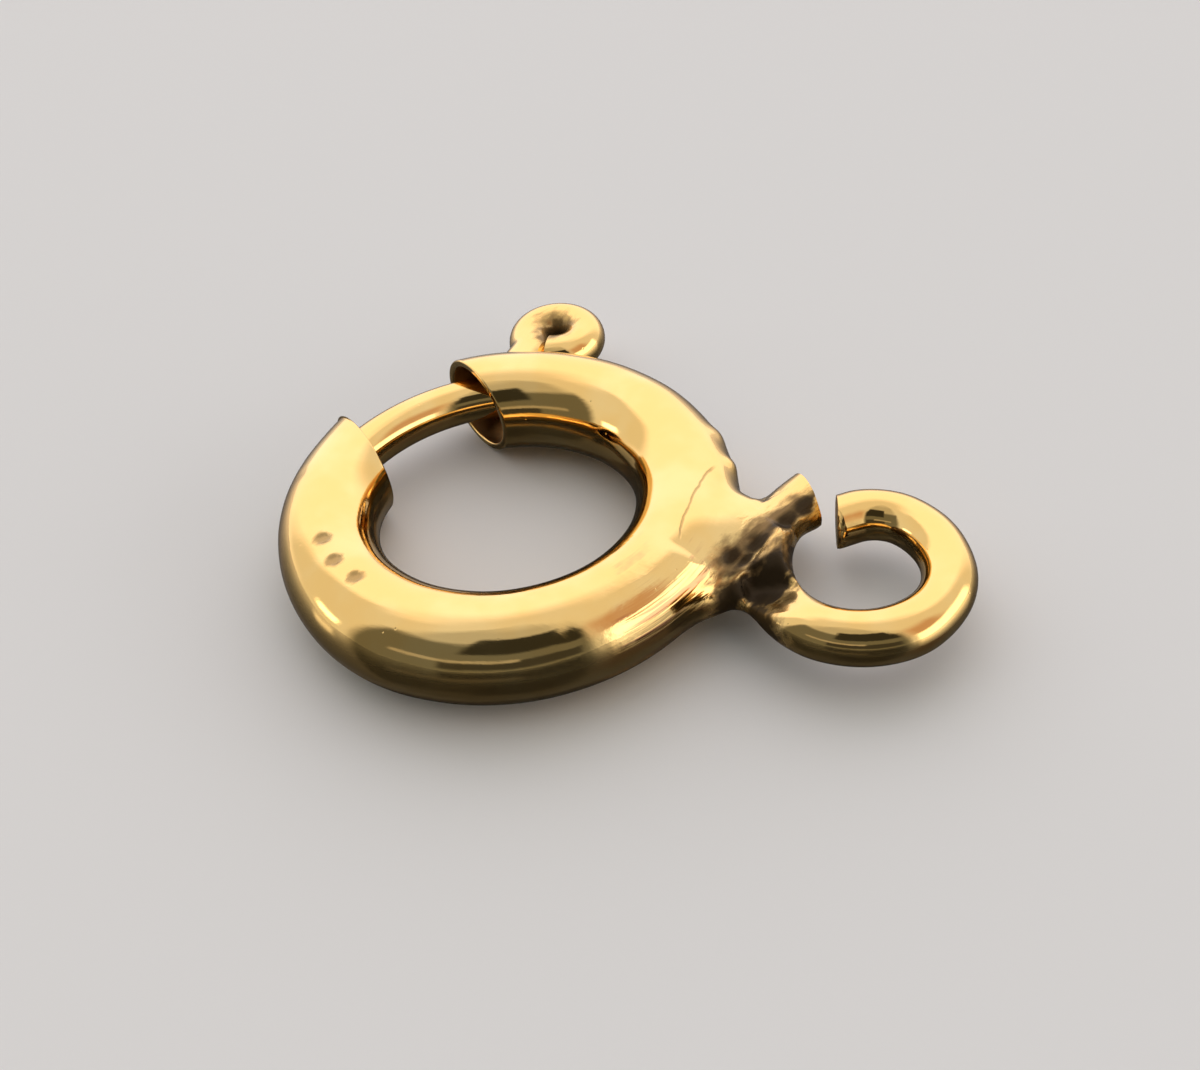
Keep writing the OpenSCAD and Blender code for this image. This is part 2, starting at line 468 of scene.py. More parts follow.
def joined_lines(*lines):
    """Lines end to end, without the points that two share."""
    return np.concatenate([lines[0]] + [line[1:] for line in lines[1:]])


def wire_solid(name, line, radii, sides=48):
    """A closed wire along a line of points in the ring's plane, each with its radius."""
    ahead = directions_along(line)
    side = np.stack([ahead[:, 1], -ahead[:, 0], np.zeros(len(line))], -1)
    up = np.array([0, 0, 1.0])
    turn = circle_steps(sides)
    round_line = np.cos(turn)[None, :, None] * side[:, None] + np.sin(turn)[None, :, None] * up
    rings = line[:, None] + radii[:, None, None] * round_line
    return outward(mesh_object(name, rings.reshape(-1, 3), capped_faces(len(line), sides)))


def combine(target, other, operation):
    """One exact boolean, applied."""
    modifier = target.modifiers.new("combine", "BOOLEAN")
    modifier.operation = operation
    modifier.solver = "EXACT"
    modifier.object = other
    bpy.context.view_layer.update()
    evaluated = target.evaluated_get(bpy.context.evaluated_depsgraph_get())
    mesh = bpy.data.meshes.new_from_object(evaluated)
    target.modifiers.clear()
    target.data = mesh
    bpy.data.objects.remove(other)
    return target


TUBE_SIDES = 96
SKIN_STEPS = 400
INSIDE_STEPS = 100
RIM_STEPS = 4
RIM_ROUND = 0.028


def tube_shell():
    """The hollow tube with its two cut ends, as one closed grid: skin, rim, inside, rim."""
    sides = circle_steps(TUBE_SIDES)

    def column(radius, inset, end):
        """One ring of points that lies inset from the cut: end is 1 at the mouth, -1 at the far face."""
        flat = RING_R + radius * np.cos(sides)
        angle = np.radians(GAP_DIR) - end * np.arcsin((GAP_W / 2 + inset) / flat)
        return flat, angle, radius * np.sin(sides)

    def stretch(radius, inset, steps):
        """Columns from the mouth round to the far face."""
        flat, first, z = column(radius, inset, 1)
        last = column(radius, inset, -1)[1] - 2 * math.pi
        return [(flat, first + (last - first) * i / steps, z) for i in range(steps + 1)]

    def rim(end):
        """Columns over the rim from skin to inside, without its first and last."""
        made = []
        for i in range(1, RIM_STEPS + 1):
            a = math.pi / 2 * i / RIM_STEPS
            radius = TUBE_R - RIM_ROUND + RIM_ROUND * math.cos(a)
            made.append(column(radius, RIM_ROUND - RIM_ROUND * math.sin(a), end))
        for i in range(RIM_STEPS):
            a = math.pi / 2 * i / RIM_STEPS
            radius = BORE_R + RIM_ROUND - RIM_ROUND * math.sin(a)
            made.append(column(radius, RIM_ROUND - RIM_ROUND * math.cos(a), end))
        return made

    skin = stretch(TUBE_R, RIM_ROUND, SKIN_STEPS)
    inside = stretch(BORE_R, RIM_ROUND, INSIDE_STEPS)
    far_rim = rim(-1)
    near_rim = rim(1)
    columns = skin + far_rim + inside[::-1] + near_rim[::-1]
    kinds = [SKIN] * SKIN_STEPS + [RIM] * (len(far_rim) + 1)
    kinds += [INSIDE] * INSIDE_STEPS + [RIM] * (len(near_rim) + 1)
    points = [np.stack([f * np.cos(a), f * np.sin(a), z], -1) for f, a, z in columns]
    faces = grid_faces(len(columns), TUBE_SIDES, closed_columns=True)
    return outward(mesh_object("case_body", np.concatenate(points), faces, np.repeat(kinds, TUBE_SIDES)))


# The box that makes a face of the end ring's cut: how far it reaches across the cut, from where to where
# along it, and up and down
CUT_BOX_ACROSS = 3
CUT_BOX_ALONG = (0.3, 3)
CUT_BOX_HALF_H = 1


def beyond_face(face, side):
    """A box against one face of the end ring's cut: side 1 is towards the arm, -1 towards the stub."""
    corners = []
    for off in (face[1], face[1] + CUT_BOX_ACROSS * side):
        for along in CUT_BOX_ALONG:
            for height in (-CUT_BOX_HALF_H, CUT_BOX_HALF_H):
                x, y, z = turned((off, along, height), face[0])
                corners.append((x + LOOP_X, y, z))
    faces = [(0, 1, 3, 2), (4, 6, 7, 5), (0, 4, 5, 1), (2, 3, 7, 6), (0, 2, 6, 4), (1, 5, 7, 3)]
    return outward(mesh_object("beyond_face", corners, faces, CUT, smooth=False))


# The end ring's stub side ends at the first direction. Its arm side starts inside it at the second, with
# this share of the wire's radius.
STUB_SIDE_TO = 300
ARM_SIDE_FROM = 296
ARM_SIDE_SLIM = 0.99


def end_ring_wire():
    """The open end ring: its stub side and its arm side are cut apart from each other, then joined."""
    stub = arc_points(shifted_centre(STUB_DIR, STUB_R), STUB_R, STUB_DIR - STUB_SWEEP, STUB_DIR, 60)
    near = arc_points((LOOP_X, 0), LOOP_R, STUB_DIR, STUB_SIDE_TO, 60)
    line = joined_lines(stub, near)
    stub_side = wire_solid("stub_side", line, np.full(len(line), LOOP_WIRE_R))
    stub_side = combine(stub_side, beyond_face(STUB_FACE, 1), "DIFFERENCE")
    far = arc_points((LOOP_X, 0), LOOP_R, ARM_SIDE_FROM, 360 + ARM_DIR, 90)
    arm = arc_points(shifted_centre(ARM_DIR, ARM_R), ARM_R, ARM_DIR, ARM_DIR + ARM_SWEEP, 50)
    tail = np.linspace(*arm_tail(), 13)
    line = joined_lines(far, arm, tail)
    arm_side = wire_solid("arm_side", line, LOOP_WIRE_R * np.linspace(ARM_SIDE_SLIM, 1.0, len(line)))
    arm_side = combine(arm_side, beyond_face(ARM_FACE, -1), "DIFFERENCE")
    return combine(stub_side, arm_side, "UNION")


NECK_SIDES = 96
NECK_STEPS = 48
# Rings of the neck's first end, which lies in the tube's wall, and the first ring's share of the full size
NECK_END_RINGS = 25
NECK_END_FIRST = 0.04
# How much earlier than its distance the neck's own solid ends in the end ring's wire
NECK_SHORTER = 0.02


def neck_body():
    """The neck's own solid, from inside the tube's wall to inside the end ring's wire."""
    turn = (np.arange(NECK_SIDES) + 0.5) * 2 * math.pi / NECK_SIDES
    power = 2 / NECK_POWER
    across = np.sign(np.cos(turn)) * np.abs(np.cos(turn)) ** power
    upward = np.sign(np.sin(turn)) * np.abs(np.sin(turn)) ** power

    def section(x):
        near, far, half_h = neck_halves(x)
        y = np.where(across < 0, near, far) * across
        drop, thinner = neck_lower(y)
        return y, half_h * thinner * upward - drop

    def in_wall(y, z):
        """The x at which the middle of the tube's wall lies."""
        off = np.sqrt((BORE_R + WALL / 2) ** 2 - z ** 2)
        return np.sqrt((RING_R + off) ** 2 - y ** 2)

    first = np.full(NECK_SIDES, NECK_FROM)
    for _ in range(4):
        y, z = section(first)
        first = in_wall(y, z)
    rings = []
    for share in np.linspace(NECK_END_FIRST, 1, NECK_END_RINGS):
        rings.append(np.stack([in_wall(y * share, z * share), y * share, z * share], -1))
    for t in np.linspace(0, 1, NECK_STEPS)[1:]:
        x = first + (NECK_TO - NECK_SHORTER - first) * t
        rings.append(np.stack([x, *section(x)], -1))
    return outward(mesh_object("neck_body", np.concatenate(rings), capped_faces(len(rings), NECK_SIDES)))


SLOT_STEPS = 80
SLOT_PAST_TUBE = 0.3


def slot_solid():
    """What the trigger's slot takes out of the tube's outer wall."""
    half_h = BOLT_R + SLOT_CLEAR
    high = TRIGGER_DIR + math.degrees(math.asin((EYE_R + half_h) / (RING_R + BORE_R)))
    low = TRIGGER_DIR - TRAVEL + math.degrees(math.asin((EYE_R - half_h) / (RING_R + TUBE_R)))
    angles = np.radians(np.linspace(low, high, SLOT_STEPS + 1))
    inner = RING_R + BORE_R / 2
    outer = RING_R + TUBE_R + SLOT_PAST_TUBE
    corners = [(inner, -half_h), (outer, -half_h), (outer, half_h), (inner, half_h)]
    points = [(r * math.cos(a), r * math.sin(a), z) for a in angles for r, z in corners]
    faces = capped_faces(SLOT_STEPS + 1, len(corners))
    return outward(mesh_object("slot_solid", points, faces, RIM, smooth=False))


def mesh_points(mesh):
    co = np.zeros(len(mesh.vertices) * 3, np.float32)
    mesh.vertices.foreach_get("co", co)
    return co.reshape(-1, 3).astype(float) / MM


def face_corners(mesh):
    """The point at each corner of each face, and that face's kind."""
    kinds = np.zeros(len(mesh.polygons), np.int32)
    mesh.polygons.foreach_get("material_index", kinds)
    counts = np.zeros(len(mesh.polygons), np.int32)
    mesh.polygons.foreach_get("loop_total", counts)
    points = np.zeros(len(mesh.loops), np.int32)
    mesh.loops.foreach_get("vertex_index", points)
    return points, np.repeat(kinds, counts)


def touched_by(mesh, wanted):
    """Which points belong to a face of the wanted kind."""
    corner_points, corner_kinds = face_corners(mesh)
    touched = np.zeros(len(mesh.vertices), bool)
    touched[corner_points[corner_kinds == wanted]] = True
    return touched


# Rounds in which the skin moves by short steps, and rounds after them without a limit
SETTLE_ROUNDS = 12
LAST_ROUNDS = 3
LONGEST_STEP = 0.06
# Evening out starts where a point has travelled the first length, and is full from the second on
EVENED_FROM = (0.02, 0.12)
EVENED_SHARE = 0.5


def settle(mesh):
    """Brings the skin onto its distance. Where it travels far, the mesh is evened out as it goes."""
    points = mesh_points(mesh)
    skin = touched_by(mesh, SKIN)
    at_cut = touched_by(mesh, CUT)[skin]
    loose = ~(at_cut | touched_by(mesh, RIM)[skin])
    number = np.full(len(points), -1)
    number[skin] = np.arange(skin.sum())
    ends = np.zeros(len(mesh.edges) * 2, np.int32)
    mesh.edges.foreach_get("vertices", ends)
    pairs = number[ends.reshape(-1, 2)]
    pairs = pairs[(pairs >= 0).all(1)]
    p = points[skin]
    start = p.copy()
    degree = np.maximum(np.bincount(pairs.ravel(), minlength=len(p)), 1)
    # Points on the edge of a cut stay in the plane of their face
    on_arm = np.abs(past_face(p, ARM_FACE)) < np.abs(past_face(p, STUB_FACE))
    angle = np.radians(np.where(on_arm, ARM_FACE[0], STUB_FACE[0]))
    across = np.stack([np.cos(angle), np.sin(angle), 0 * angle], -1) * at_cut[:, None]
    for round_number in range(SETTLE_ROUNDS + LAST_ROUNDS):
        short = round_number < SETTLE_ROUNDS
        normal = skin_normals(p)
        distance = skin_distance(p)
        if short:
            distance = np.clip(distance, -LONGEST_STEP, LONGEST_STEP)
        move = -normal * distance[:, None]
        move -= (move * across).sum(1, keepdims=True) * across
        p = p + move
        if short:
            total = np.zeros_like(p)
            np.add.at(total, pairs[:, 0], p[pairs[:, 1]])
            np.add.at(total, pairs[:, 1], p[pairs[:, 0]])
            pull = total / degree[:, None] - p
            pull -= normal * (pull * normal).sum(1, keepdims=True)
            far = smooth_step(np.linalg.norm(p - start, axis=1), *EVENED_FROM) * loose
            p = p + EVENED_SHARE * far[:, None] * pull
    points[skin] = p
    mesh.vertices.foreach_set("co", (points * MM).astype(np.float32).ravel())
    mesh.update()


def true_normals(mesh):
    """Skin corners get the distance's own normals, so that reflections run clean over any triangles."""
    corner_points, corner_kinds = face_corners(mesh)
    normals = np.zeros(len(mesh.loops) * 3, np.float32)
    mesh.corner_normals.foreach_get("vector", normals)
    normals = normals.reshape(-1, 3).astype(float)
    on_skin = corner_kinds == SKIN
    normals[on_skin] = skin_normals(mesh_points(mesh)[corner_points[on_skin]])
    mesh.normals_split_custom_set([tuple(n) for n in normals])


# Edges sharper than this show as edges
SHARP = 40


def case_piece():
    """The hollow ring, its slot, the neck and the end ring, as one skin."""
    ends = combine(end_ring_wire(), neck_body(), "UNION")
    case = combine(tube_shell(), ends, "UNION")
    case = combine(case, slot_solid(), "DIFFERENCE")
    settle(case.data)
    sharp_by_angle(case, SHARP)
    true_normals(case.data)
    return case


def bolt_line():
    """The middle line of the bolt wire: arc, bend, leg and eye."""
    side = EYE_R + BEND_R
    out = math.sqrt((BOLT_PATH_R + BEND_R) ** 2 - side ** 2)
    turn = math.degrees(math.atan2(side, out))
    arc = arc_points((0, 0), BOLT_PATH_R, TIP_DIR, TRIGGER_DIR + turn, 120)
    bend = turned(arc_points((out, side), BEND_R, 180 + turn, 270, 24), TRIGGER_DIR)
    reach = np.linspace(out, EYE_OUT, 48)
    outside = np.clip((reach - RING_R - TUBE_R) / (EYE_OUT - RING_R - TUBE_R), 0, 1)
    pinched = EYE_R - EYE_PINCH * np.sin(math.pi * outside) ** 2
    leg = turned(np.stack([reach, pinched, 0 * reach], -1), TRIGGER_DIR)
    eye = turned(arc_points((EYE_OUT, 0), EYE_R, 90, 90 - EYE_SWEEP, 96), TRIGGER_DIR)
    return joined_lines(arc, bend, leg, eye)


def bolt_piece():
    """The bolt wire with its trigger. Its hidden tip is chamfered."""
    line = bolt_line()
    run = np.concatenate([[0], np.cumsum(np.linalg.norm(np.diff(line, axis=0), axis=1))])
    radii = BOLT_R - np.clip(TIP_LEN - run, 0, None)
    made = wire_solid("bolt_wire", line, radii)
    sharp_by_angle(made, SHARP)
    return made


COIL_STEPS = 28
COIL_SIDES = 10
COIL_SHARP = 50


def spring_piece():
    """The coil, wound round the tube's curved middle line."""
    coil_r = BORE_R - SPRING_CLEAR - SPRING_WIRE / 2
    clear = BOLT_R + SPRING_CLEAR + SPRING_WIRE / 2
    first = TRIGGER_DIR + math.degrees(math.asin((EYE_R - clear) / (RING_R + coil_r)))
    last = SEAT_DIR + math.degrees(SPRING_WIRE / RING_R)
    steps = SPRING_TURNS * COIL_STEPS
    t = np.linspace(0, 1, steps + 1)
    direction = np.radians(first + t * (last - first))
    turn = 2 * math.pi * SPRING_TURNS * t
    flat = RING_R + coil_r * np.cos(turn)
    line = np.stack([flat * np.cos(direction), flat * np.sin(direction), coil_r * np.sin(turn)], -1)
    ahead = directions_along(line)
    middle = np.stack([RING_R * np.cos(direction), RING_R * np.sin(direction), 0 * t], -1)
    out = line - middle
    out -= ahead * (out * ahead).sum(1, keepdims=True)
    out /= np.linalg.norm(out, axis=1, keepdims=True)
    across = np.cross(ahead, out)
    turn = circle_steps(COIL_SIDES)
    round_line = np.cos(turn)[None, :, None] * out[:, None] + np.sin(turn)[None, :, None] * across[:, None]
    rings = line[:, None] + SPRING_WIRE / 2 * round_line
    made = outward(mesh_object("coil_wire", rings.reshape(-1, 3), capped_faces(steps + 1, COIL_SIDES)))
    sharp_by_angle(made, COIL_SHARP)
    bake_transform(made)
    return made


# Shader nodes


def node_tree(name):
    material = bpy.data.materials.new(name)
    material.use_nodes = True
    return material, material.node_tree.nodes, material.node_tree.links


def math_node(nodes, links, operation, *inputs):
    made = nodes.new("ShaderNodeMath")
    made.operation = operation
    for index, value in enumerate(inputs):
        if isinstance(value, (int, float)):
            made.inputs[index].default_value = value
        else:
            links.new(value, made.inputs[index])
    return made.outputs[0]


def vector_node(nodes, links, operation, vector, other=None):
    made = nodes.new("ShaderNodeVectorMath")
    made.operation = operation
    links.new(vector, made.inputs[0])
    if other is not None:
        made.inputs[1].default_value = other
    return made.outputs


def turned_about_z(nodes, links, vector, degrees, centre=(0, 0, 0)):
    made = nodes.new("ShaderNodeVectorRotate")
    made.rotation_type = "Z_AXIS"
    made.inputs["Center"].default_value = centre
    made.inputs["Angle"].default_value = math.radians(degrees)
    links.new(vector, made.inputs["Vector"])
    return made.outputs["Vector"]


def split_xyz(nodes, links, vector):
    made = nodes.new("ShaderNodeSeparateXYZ")
    links.new(vector, made.inputs[0])
    return tuple(made.outputs)


def colour_mix(nodes, links, mask, below, above):
    made = nodes.new("ShaderNodeMix")
    made.data_type = "RGBA"
    for key, value in (("A", below), ("B", above)):
        if isinstance(value, tuple):
            made.inputs[key].default_value = (*value, 1)
        else:
            links.new(value, made.inputs[key])
    links.new(mask, made.inputs["Factor"])
    return made.outputs["Result"]


def map_range(nodes, links, value, low, high, to_low=0.0, to_high=1.0, kind="SMOOTHSTEP"):
    made = nodes.new("ShaderNodeMapRange")
    made.interpolation_type = kind
    for key, number in (("From Min", low), ("From Max", high), ("To Min", to_low), ("To Max", to_high)):
        made.inputs[key].default_value = number
    links.new(value, made.inputs["Value"])
    return made.outputs["Result"]


def between(nodes, links, value, low, high, soft):
    """1 between low and high, and down to 0 over soft on either side."""
    rise = map_range(nodes, links, value, low - soft / 2, low + soft / 2)
    fall = map_range(nodes, links, value, high + soft / 2, high - soft / 2)
    return math_node(nodes, links, "MULTIPLY", rise, fall)


def noise_field(nodes, links, where, scale, detail=3, stretch=None, turn=(0, 0, 0)):
    """Noise of about 0 to 1 over a place in millimetres."""
    if stretch:
        mapping = nodes.new("ShaderNodeMapping")
        mapping.inputs["Scale"].default_value = stretch
        mapping.inputs["Rotation"].default_value = turn
        links.new(where, mapping.inputs["Vector"])
        where = mapping.outputs["Vector"]
    made = nodes.new("ShaderNodeTexNoise")
    made.inputs["Scale"].default_value = scale
    made.inputs["Detail"].default_value = detail
    links.new(where, made.inputs["Vector"])
    return made.outputs["Fac"]


def millimetres(nodes, links):
    """Object coordinates in millimetres."""
    scale = nodes.new("ShaderNodeVectorMath")
    scale.operation = "SCALE"
    scale.inputs["Scale"].default_value = 1 / MM
    links.new(nodes.new("ShaderNodeTexCoord").outputs["Object"], scale.inputs[0])
    return scale.outputs[0]


# How strongly a noise value moves the edge of a place in and out, in shares of its radii
RAGGED = 1.5


def near_place(nodes, links, where, centre, radii, soft, ragged):
    """1 inside an oval body round a place, 0 outside, with a ragged edge from a noise value."""
    moved = vector_node(nodes, links, "SUBTRACT", where, centre)[0]
    scaled = vector_node(nodes, links, "DIVIDE", moved, radii)[0]
    length = vector_node(nodes, links, "LENGTH", scaled)["Value"]
    rough_edge = math_node(nodes, links, "MULTIPLY_ADD", ragged, RAGGED, -RAGGED / 2)
    total = math_node(nodes, links, "ADD", length, rough_edge)
    return map_range(nodes, links, total, 1 + soft, 1 - soft)


# Materials


GOLD = (0.95, 0.61, 0.215)
GOLD_WORN = (0.96, 0.67, 0.28)
# Near-black for painted shade, and a brown for the seam line, for heat stain at the joint and for painted
# shade
DEEP_SHADE_COLOUR = (0.032, 0.02, 0.009)
BROWN_TARNISH_AND_SHADE = (0.19, 0.115, 0.048)

# Where the file has left its streaks on the tube, next to the joint, which also carry a painted warm
# reflection in red: centre, radii and softness
FILED = ((2.85, -1.45, 0.25), (1.0, 0.85, 0.5), 0.35)
FILED_RED_REFLECTION = (0.66, 0.34, 0.16)
# How the file marks are scaled round the ring and across it, then their depth: what it gains there, and
# what it is everywhere
FILE_ROUND = 0.35
FILE_ACROSS = 7
FILE_DEPTH = (5, 0.35)

# The thin line where the neck's tongue ends on top of the tube: its x at y = 0, how it bows with y, how far
# it wanders, how far from its middle it starts and is full, the heights over which it comes in, and its y
SEAM_X = 2.86
SEAM_BOW = 0.12
SEAM_WANDER = 0.12
SEAM_HALF = (0.026, 0.006)
SEAM_HEIGHT = (0.45, 0.6)
SEAM_Y = (-0.6, 0.95)

# The joint's own frame: millimetres along the filed edge, across it towards the back, and up
JOINT_AT = (4.0, 0.0, 0.0)
JOINT_TURN = 62
# Marks along the stub, in that frame: centre, radii, softness
STUB_MARKS = ((0.5, 0.15, 0.2), (0.9, 0.45, 0.4), 0.3)


def at_joint(place):
    """A place in the joint's own frame."""
    return tuple(turned(np.array(place) - JOINT_AT, -JOINT_TURN))


# Brown over the joint, partly heat stain and partly painted shade in its valleys, and brown in the punch
# marks. In that frame: centre, radii, softness, strength
JOINT_STAIN_AND_SHADE = (
    ((0.2, 0.17, 0.25), (1.15, 0.2, 0.34), 0.4, 0.92),
    ((-0.55, 0.12, 0.25), (0.38, 0.26, 0.4), 0.4, 0.9),
    ((-0.2, -0.3, 0.1), (0.8, 0.35, 0.4), 0.3, 0.95),
) + tuple((at_joint(place), (0.13, 0.13, 0.13), 0.35, 0.6) for place in PUNCHED)
# Near-black painted shade along the joint's valleys and low on its near side, where the tube's underside is
# in shadow, with the same columns
JOINT_SHADE_DEEP = (
    ((-0.58, 0.17, 0.3), (0.18, 0.1, 0.25), 0.5, 0.93),
    ((-0.44, 0.02, 0.22), (0.24, 0.06, 0.25), 0.5, 0.93),
    ((-0.12, 0.09, 0.3), (0.24, 0.12, 0.25), 0.5, 0.93),
    ((0.45, 0.1, 0.28), (0.36, 0.09, 0.25), 0.5, 0.93),
    ((0.98, 0.14, 0.2), (0.24, 0.12, 0.16), 0.4, 0.93),
    ((0.3, -0.33, -0.1), (0.95, 0.24, 0.42), 0.25, 0.97),
    ((-0.45, -0.42, 0.0), (0.56, 0.38, 0.5), 0.25, 0.98),
    ((-0.98, -0.75, -0.05), (0.26, 0.5, 0.28), 0.35, 0.95),
    ((-0.88, -0.1, -0.1), (0.38, 0.26, 0.36), 0.35, 0.97),
)
# In the same frame and columns, painted shade in the trigger's eye: brown over its curl's hollow and over
# the slit between its curl and its leg, near-black in the middle of the hollow
EYE_PLACE = at_joint(turned([EYE_OUT, 0, 0], TRIGGER_DIR))
SLIT_PLACE = at_joint(turned([EYE_OUT - 0.24, 0.06, 0], TRIGGER_DIR))
EYE_SHADE_BROWN = ((EYE_PLACE, (0.34, 0.34, 0.6), 0.4, 0.85), (SLIT_PLACE, (0.26, 0.26, 0.6), 0.4, 0.85))
EYE_SHADE_DEEP = ((EYE_PLACE, (0.17, 0.17, 0.6), 0.4, 0.6),)

# How rough full brown and full near-black patches are, and how much less metallic these patches are; they
# are partly stain and partly painted shade
BROWN_ROUGHNESS = 0.3
DEEP_ROUGHNESS = 0.4
DARK_PATCH_DULLS = 0.6
# The bump of a polished surface, and how it weighs the seam and the stub's marks
BUMP_STRENGTH = 0.5
BUMP_DEPTH = 0.004
SEAM_RELIEF = -3
STUB_RELIEF = 7


def marks_round_ring(nodes, links, where):
    """Noise in streaks that run round the ring."""
    x, y, z = split_xyz(nodes, links, where)
    x_square = math_node(nodes, links, "MULTIPLY", x, x)
    y_square = math_node(nodes, links, "MULTIPLY", y, y)
    flat = math_node(nodes, links, "SQRT", math_node(nodes, links, "ADD", x_square, y_square))
    direction = math_node(nodes, links, "DEGREES", math_node(nodes, links, "ARCTAN2", y, x))
    streaks = nodes.new("ShaderNodeCombineXYZ")
    for key, value, factor in (
        ("X", direction, math.radians(RING_R) * FILE_ROUND),
        ("Y", flat, FILE_ACROSS),
        ("Z", z, FILE_ACROSS),
    ):
        links.new(math_node(nodes, links, "MULTIPLY", value, factor), streaks.inputs[key])
    return noise_field(nodes, links, streaks.outputs[0], 1.6, 3)


def seam_line(nodes, links, where):
    """1 on the seam, 0 elsewhere."""
    x, y, z = split_xyz(nodes, links, where)
    y_square = math_node(nodes, links, "MULTIPLY", y, y)
    bow = math_node(nodes, links, "MULTIPLY_ADD", y_square, SEAM_BOW, SEAM_X - SEAM_WANDER / 2)
    wobble = noise_field(nodes, links, where, 2.6, 2)
    bow = math_node(nodes, links, "MULTIPLY_ADD", wobble, SEAM_WANDER, bow)
    off = math_node(nodes, links, "ABSOLUTE", math_node(nodes, links, "SUBTRACT", x, bow))
    line = map_range(nodes, links, off, *SEAM_HALF)
    line = math_node(nodes, links, "MULTIPLY", line, map_range(nodes, links, z, *SEAM_HEIGHT))
    return math_node(nodes, links, "MULTIPLY", line, between(nodes, links, y, *SEAM_Y, 0.2))


def stain_and_shade_spots(nodes, links, where, ragged, paint, spots, dark_paint):
    """Paint darkened at the places named, for stain and for painted shade, and how darkened it is."""
    mask = 0
    for centre, radii, soft, strength in spots:
        spot = near_place(nodes, links, where, centre, radii, soft, ragged)
        mask = math_node(nodes, links, "MAXIMUM", mask, math_node(nodes, links, "MULTIPLY", spot, strength))
    return colour_mix(nodes, links, mask, paint, dark_paint), mask


def gold(name, colour, worn, roughness, scratch, brown=(), deep=()):
    """Polished gold: slight colour drift, haze, scratches and pits, and brown and near-black patches at the
    places named, partly tarnish and partly painted shade.
    """
    material, nodes, links = node_tree(name)
    shader = nodes["Principled BSDF"]
    shader.inputs["Metallic"].default_value = 1
    shader.inputs["Specular IOR Level"].default_value = 0.12
    where = millimetres(nodes, links)
    at_place = turned_about_z(nodes, links, where, -JOINT_TURN, JOINT_AT)
    at_place = vector_node(nodes, links, "SUBTRACT", at_place, JOINT_AT)[0]

    drift = map_range(nodes, links, noise_field(nodes, links, where, 0.9), 0.42, 0.72)
    paint = colour_mix(nodes, links, drift, colour, worn)
    haze = noise_field(nodes, links, where, 2.3, 5)
    gloss = map_range(nodes, links, haze, 0.35, 0.75, roughness, roughness * 2.2)

    file_marks = marks_round_ring(nodes, links, where)
    filed = near_place(nodes, links, where, *FILED, haze)
    # Painted red reflection along the file streaks
    red_reflection = map_range(nodes, links, file_marks, 0.5, 0.62)
    red_reflection = math_node(nodes, links, "MULTIPLY", red_reflection, filed)
    paint = colour_mix(nodes, links, red_reflection, paint, FILED_RED_REFLECTION)
    seam = seam_line(nodes, links, where)
    paint = colour_mix(nodes, links, math_node(nodes, links, "MULTIPLY", seam, 0.5), paint, BROWN_TARNISH_AND_SHADE)

    patchy = noise_field(nodes, links, at_place, 1.5, 6, (2, 5, 4))
    bare = None
    # Brown patches, partly stain and partly painted shade, then near-black painted shade
    for spots, dark_paint, dark_roughness in (
        (brown, BROWN_TARNISH_AND_SHADE, BROWN_ROUGHNESS),
        (deep, DEEP_SHADE_COLOUR, DEEP_ROUGHNESS),
    ):
        if spots:
            paint, mask = stain_and_shade_spots(nodes, links, at_place, patchy, paint, spots, dark_paint)
            dark_gloss = math_node(nodes, links, "MULTIPLY", mask, dark_roughness)
            gloss = math_node(nodes, links, "MAXIMUM", gloss, dark_gloss)
            left = math_node(nodes, links, "MULTIPLY_ADD", mask, -DARK_PATCH_DULLS, 1)
            bare = left if bare is None else math_node(nodes, links, "MINIMUM", bare, left)
    if bare is not None:
        links.new(bare, shader.inputs["Metallic"])
    links.new(paint, shader.inputs["Base Color"])
    links.new(gloss, shader.inputs["Roughness"])

    lines = noise_field(nodes, links, where, 1.6, 6, (2.5, 14, 9), (0.3, 0.2, 0.6))
    pits = nodes.new("ShaderNodeTexVoronoi")
    pits.inputs["Scale"].default_value = 3.2
    links.new(where, pits.inputs["Vector"])
    hole = map_range(nodes, links, pits.outputs["Distance"], 0.0, 0.07)
    relief = math_node(nodes, links, "MULTIPLY_ADD", lines, scratch, hole)
    file_depth = math_node(nodes, links, "MULTIPLY_ADD", filed, *FILE_DEPTH)
    marks = math_node(nodes, links, "MULTIPLY", file_marks, file_depth)
    relief = math_node(nodes, links, "ADD", relief, marks)
    relief = math_node(nodes, links, "MULTIPLY_ADD", seam, SEAM_RELIEF, relief)
    stub_marks = noise_field(nodes, links, at_place, 1.6, 4, (0.8, 10, 8))
    stub = near_place(nodes, links, at_place, *STUB_MARKS, patchy)
    stub_marks = math_node(nodes, links, "MULTIPLY", stub_marks, stub)
    relief = math_node(nodes, links, "MULTIPLY_ADD", stub_marks, STUB_RELIEF, relief)
    bump = nodes.new("ShaderNodeBump")
    bump.inputs["Strength"].default_value = BUMP_STRENGTH
    bump.inputs["Distance"].default_value = BUMP_DEPTH * MM
    links.new(relief, bump.inputs["Height"])
    links.new(bump.outputs["Normal"], shader.inputs["Normal"])
    return material


def steel(name):
    """Bright drawn wire."""
    material, nodes, links = node_tree(name)
    shader = nodes["Principled BSDF"]
    shader.inputs["Metallic"].default_value = 1
    shader.inputs["Base Color"].default_value = (0.6, 0.6, 0.62, 1)
    drawn = noise_field(nodes, links, millimetres(nodes, links), 12, 2)
    gloss = map_range(nodes, links, drawn, 0, 1, 0.18, 0.4, "LINEAR")
    links.new(gloss, shader.inputs["Roughness"])
    return material


